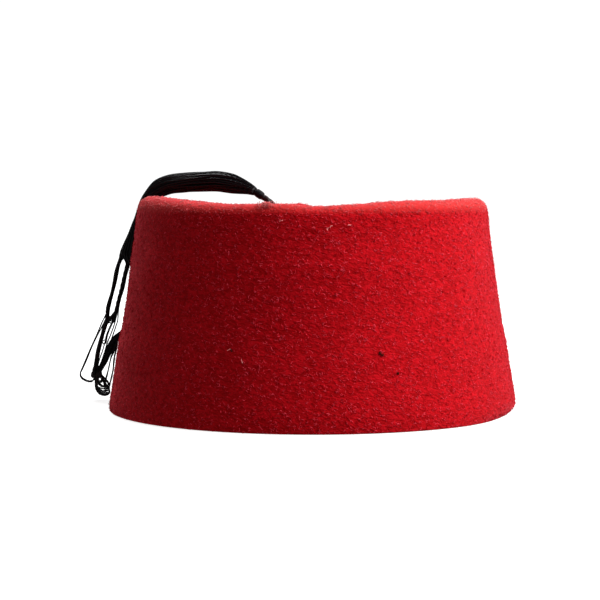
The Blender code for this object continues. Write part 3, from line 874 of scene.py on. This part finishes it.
def wool_tufts():
    """The tips of dyed wool: matt, with a weak sheen, and in places lighter and pinker than the felt."""
    made, tree, shader = new_material("raised_wool_nap", Roughness=0.7, Specular_IOR_Level=0.1,
                                      Specular_Tint=linear("#ff4454"), Subsurface_Weight=0.2,
                                      Subsurface_Radius=(1, 0.3, 0.3), Subsurface_Scale=0.5 * MM,
                                      Sheen_Weight=0.2, Sheen_Roughness=0.4, Sheen_Tint=linear("#ff5868"))
    place = add_node(tree, "TexCoord").outputs["Object"]
    varied = add_node(tree, "TexNoise", {"Vector": place, "Scale": 1 / (1.6 * MM), "Detail": 1})
    share = add_node(tree, "MapRange", {"Value": varied.outputs["Fac"], "From Min": 0.43, "From Max": 0.7})
    colour = mixed(tree, share.outputs[0], linear("#b20009"), linear("#ff485c"))
    # Painted sheen: a paler red round the shoulder, as on the felt.
    colour = painted_shoulder_sheen(tree, place, colour, "#de6c6c")
    tree.links.new(colour, shader.inputs["Base Color"])
    return made


tufts = wool_tufts()
for name, seed, from_height, to_height in NAP_PIECES:
    add_piece(name, nap_mesh(name, NAP_CURLS, seed, from_height, to_height), tufts, "felt")
tuft_mesh = nap_mesh("nap_tuft", TUFT_CURLS, seed=6, from_height=90 * MM, to_height=110 * MM, lifted_deg=70,
                     spot=TUFT_AT)
add_piece("nap_tuft", tuft_mesh, tufts, "felt")


# --- Specks -------------------------------------------------------------------
# What has caught in the nap: a few pale ends of lint, most of them near the top, and dark bits of plant low
# on the front. All are drawn thicker than real ones, so that they show. Each row is (bearing in degrees, mm
# high, degrees that it lies off the level).
LINT_AT = ((-85.8, 85.6, 75), (-84.7, 86.7, 42), (-79.1, 87.3, 175), (-99.3, 89.0, 20), (-112.9, 34.6, 30),
           (-108.9, 29.9, 110))
BITS_AT = ((-71.4, 33.0, 160), (-71.0, 32.6, 50), (-71.8, 33.3, 100), (-67.0, 24.7, 20), (-112.1, 34.3, 80))
SPECK_ABOVE_FELT = 0.55 * MM
SPECK_SIDES = 5


def speck_runs(spots, fibres, length, radius):
    """Short crooked fibres, one or a few of them at each spot on the crown's side."""
    runs = []
    for bearing_deg, height_mm, lie_deg in spots:
        bearing = math.radians(bearing_deg)
        away = np.array((math.cos(bearing), math.sin(bearing), 0))
        around = np.array((-math.sin(bearing), math.cos(bearing), 0))
        middle = away * (side_radius(height_mm) * MM + SPECK_ABOVE_FELT) + (0, 0, height_mm * MM)
        for _ in range(fibres):
            turn = math.radians(lie_deg) + draw.normal(0, 0.6) * (fibres - 1)
            bend = draw.normal(0, 0.7)
            points = []
            for share in (-0.5, 0, 0.5):
                lie = turn + bend * share
                heading = around * math.cos(lie) + np.array((0, 0, math.sin(lie)))
                points.append(middle + heading * length * share + away * draw.uniform(-0.2, 0.3) * MM)
            path = smooth_path(points, length / 5)
            runs.append((path, np.full(len(path), radius)))
    return runs


def caught_in_nap(name, dark, light, roughness):
    """Dry plant matter or bleached lint, which varies from fibre to fibre."""
    made, tree, shader = new_material(name, Roughness=roughness, Specular_IOR_Level=0.1)
    place = add_node(tree, "TexCoord").outputs["Object"]
    varied = add_node(tree, "TexNoise", {"Vector": place, "Scale": 1 / (0.8 * MM), "Detail": 2})
    colour = mixed(tree, varied.outputs["Fac"], linear(dark), linear(light))
    tree.links.new(colour, shader.inputs["Base Color"])
    return made


lint_runs = speck_runs(LINT_AT, fibres=1, length=1.6 * MM, radius=0.16 * MM)
add_piece("lint", thread_mesh("lint", lint_runs, SPECK_SIDES),
          caught_in_nap("bleached_lint", "#ff6e70", "#ffc6c4", roughness=0.5), "felt")
bit_runs = speck_runs(BITS_AT, fibres=4, length=1.2 * MM, radius=0.2 * MM)
add_piece("plant_bits", thread_mesh("plant_bits", bit_runs, SPECK_SIDES),
          caught_in_nap("dry_plant_bits", "#1a0503", "#5c1c12", roughness=0.9), "felt")


# --- Floor and light ----------------------------------------------------------
# A plain white table before a white background, a large soft lamp high on the right, a smaller one high
# behind the hat, and a weak even fill.
FLOOR_SIZE = 12
FLOOR_BELOW = 0.2 * MM
FILL = 0.235
BACKGROUND = 1.05
LAMPS_FACE = Vector((0, 0, 50 * MM))

bpy.ops.object.select_all(action="DESELECT")
bpy.ops.mesh.primitive_plane_add(size=FLOOR_SIZE, location=(0, 0, -FLOOR_BELOW))
floor = bpy.context.object
floor.name = "floor"
floor_paint, paint_tree, paint = new_material("white_table", Base_Color=linear("#bbbbbb"), Roughness=0.9,
                                              Emission_Color=linear("#ffffff"))
# Its own glow grows away from the hat, so that it meets the white behind it without a line.
floor_place = add_node(paint_tree, "TexCoord")
away = add_node(paint_tree, "VectorMath", {0: floor_place.outputs["Object"]}, operation="LENGTH")
glow = add_node(paint_tree, "MapRange", {"Value": away.outputs["Value"], "From Min": 0.15, "From Max": 0.7,
                                         "To Min": 0.8, "To Max": BACKGROUND},
                interpolation_type="SMOOTHSTEP")
paint_tree.links.new(glow.outputs[0], paint.inputs["Emission Strength"])
floor.data.materials.append(floor_paint)
floor.visible_diffuse = False
floor.visible_glossy = False


def softbox(name, bearing_deg, elevation_deg, distance, size, watts):
    """A square lamp that faces the hat."""
    data = bpy.data.lights.new(name, "AREA")
    data.size = size
    data.energy = watts
    lamp = bpy.data.objects.new(name, data)
    bpy.context.scene.collection.objects.link(lamp)
    bearing, elevation = math.radians(bearing_deg), math.radians(elevation_deg)
    away = Vector((math.cos(bearing) * math.cos(elevation), math.sin(bearing) * math.cos(elevation),
                   math.sin(elevation)))
    lamp.location = LAMPS_FACE + away * distance
    lamp.rotation_mode = "QUATERNION"
    lamp.rotation_quaternion = away.to_track_quat("Z", "Y")


softbox("window", bearing_deg=-15, elevation_deg=38, distance=1.0, size=0.8, watts=18.6)
softbox("overhead", bearing_deg=108, elevation_deg=60, distance=1.3, size=0.5, watts=12)

world = bpy.data.worlds.new("studio")
bpy.context.scene.world = world
world.use_nodes = True
sky = world.node_tree
sky.nodes.clear()
ray = add_node(sky, "LightPath")
strength = add_node(sky, "MapRange", {"Value": ray.outputs["Is Camera Ray"], "To Min": FILL,
                                      "To Max": BACKGROUND})
surround = add_node(sky, "Background", {"Color": linear("#ffffff"), "Strength": strength.outputs[0]})
add_node(sky, "OutputWorld", {"Surface": surround.outputs[0]})

bpy.context.scene.view_settings.view_transform = "Standard"
